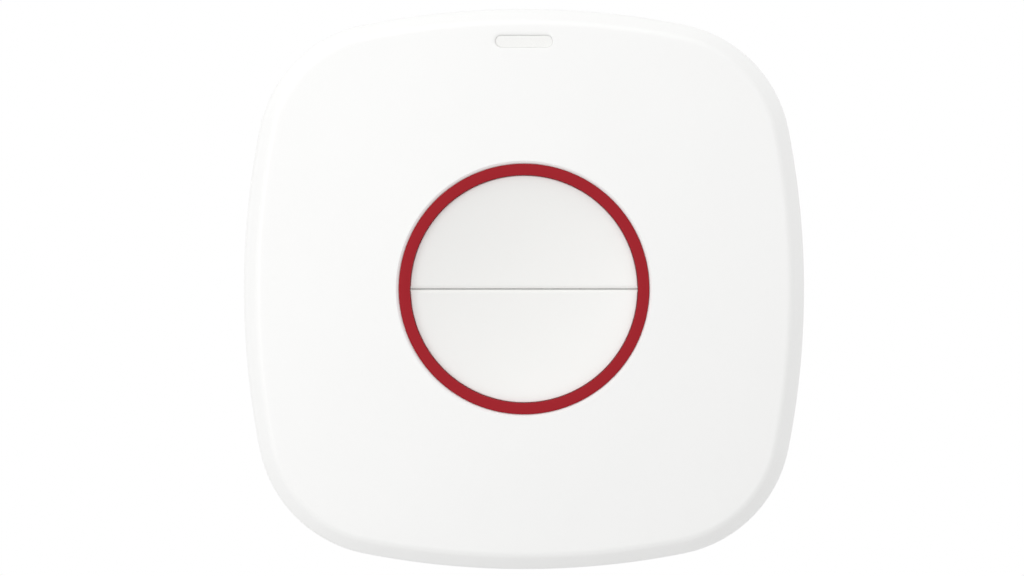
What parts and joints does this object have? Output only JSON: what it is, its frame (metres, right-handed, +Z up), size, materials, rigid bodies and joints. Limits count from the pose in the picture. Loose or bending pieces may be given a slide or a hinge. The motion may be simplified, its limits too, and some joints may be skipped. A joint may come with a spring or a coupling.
{
  "type": "wireless panic button",
  "caption": "Wall-mounted wireless panic button: rounded square white case, red ring round a split round button, status lamp, coin-cell door, keyed wall bracket.",
  "frame": {"origin": "middle of the wall bracket's flat back face, between its two screw holes", "axes": "+Y into the wall, +Z up, +X to the right as seen from the front; the button faces -Y"},
  "size_m": [0.056, 0.0166, 0.056],
  "materials": {
    "bracket_plastic": "fine moulded texture",
    "cover_plastic": "fine satin moulded texture",
    "button_plastic": "satin moulded",
    "ring_plastic": "satin red moulded",
    "pipe_plastic": "milky clear moulded",
    "cell_steel": "nickel plated",
    "contact_steel": "nickel plated strip",
    "board_laminate": "solder mask",
    "chip_epoxy": "moulded epoxy",
    "crystal_steel": "metal lid on a ceramic tub",
    "capacitor_ceramic": "fired ceramic",
    "coil_brass": "plated spring wire",
    "lamp_plastic": "clear moulded lens",
    "switch_plastic": "moulded",
    "switch_steel": "stainless sheet",
    "terminal_steel": "tinned",
    "plunger_plastic": "moulded",
    "screw_steel": "zinc plated"
  },
  "bodies": {
    "wall_bracket": {"wall_bracket": "bracket_plastic"},
    "case": {"rear_cover": "cover_plastic", "front_cover": "cover_plastic", "coin_cell": "cell_steel", "battery_plus_contact": "contact_steel", "battery_minus_contact": "contact_steel", "circuit_board": "board_laminate", "radio_chip": "chip_epoxy", "crystal": "crystal_steel", "chip_capacitors": "capacitor_ceramic", "antenna_coil": "coil_brass", "led_indicator": "lamp_plastic", "light_pipe": "pipe_plastic", "switch_terminals": "terminal_steel", "button_ring": "ring_plastic", "case_screws": "screw_steel", "ring_screws": "screw_steel", "upper_switch_base": "switch_plastic", "upper_switch_frame": "switch_steel", "lower_switch_base": "switch_plastic", "lower_switch_frame": "switch_steel"},
    "battery_door": {"battery_door": "cover_plastic"},
    "upper_button": {"upper_button_cap": "button_plastic", "upper_switch_plunger": "plunger_plastic"},
    "lower_button": {"lower_button_cap": "button_plastic", "lower_switch_plunger": "plunger_plastic"}
  },
  "joints": [
    {"name": "case_lift", "type": "slide", "parent": "wall_bracket", "child": "case", "axis": [0, 0, 1], "range_m": [0, 0.0024]},
    {"name": "battery_door_turn", "type": "hinge", "parent": "case", "child": "battery_door", "pos_m": [0, -0.0032, 0], "axis": [0, 1, 0], "range_deg": [0, 45]},
    {"name": "upper_button_press", "type": "slide", "parent": "case", "child": "upper_button", "axis": [0, 1, 0], "range_m": [0, 0.0004], "stiffness_N_per_m": 4000, "springref_m": -0.0001},
    {"name": "lower_button_press", "type": "slide", "parent": "case", "child": "lower_button", "axis": [0, 1, 0], "range_m": [0, 0.0004], "stiffness_N_per_m": 4000, "springref_m": -0.0001}
  ]
}
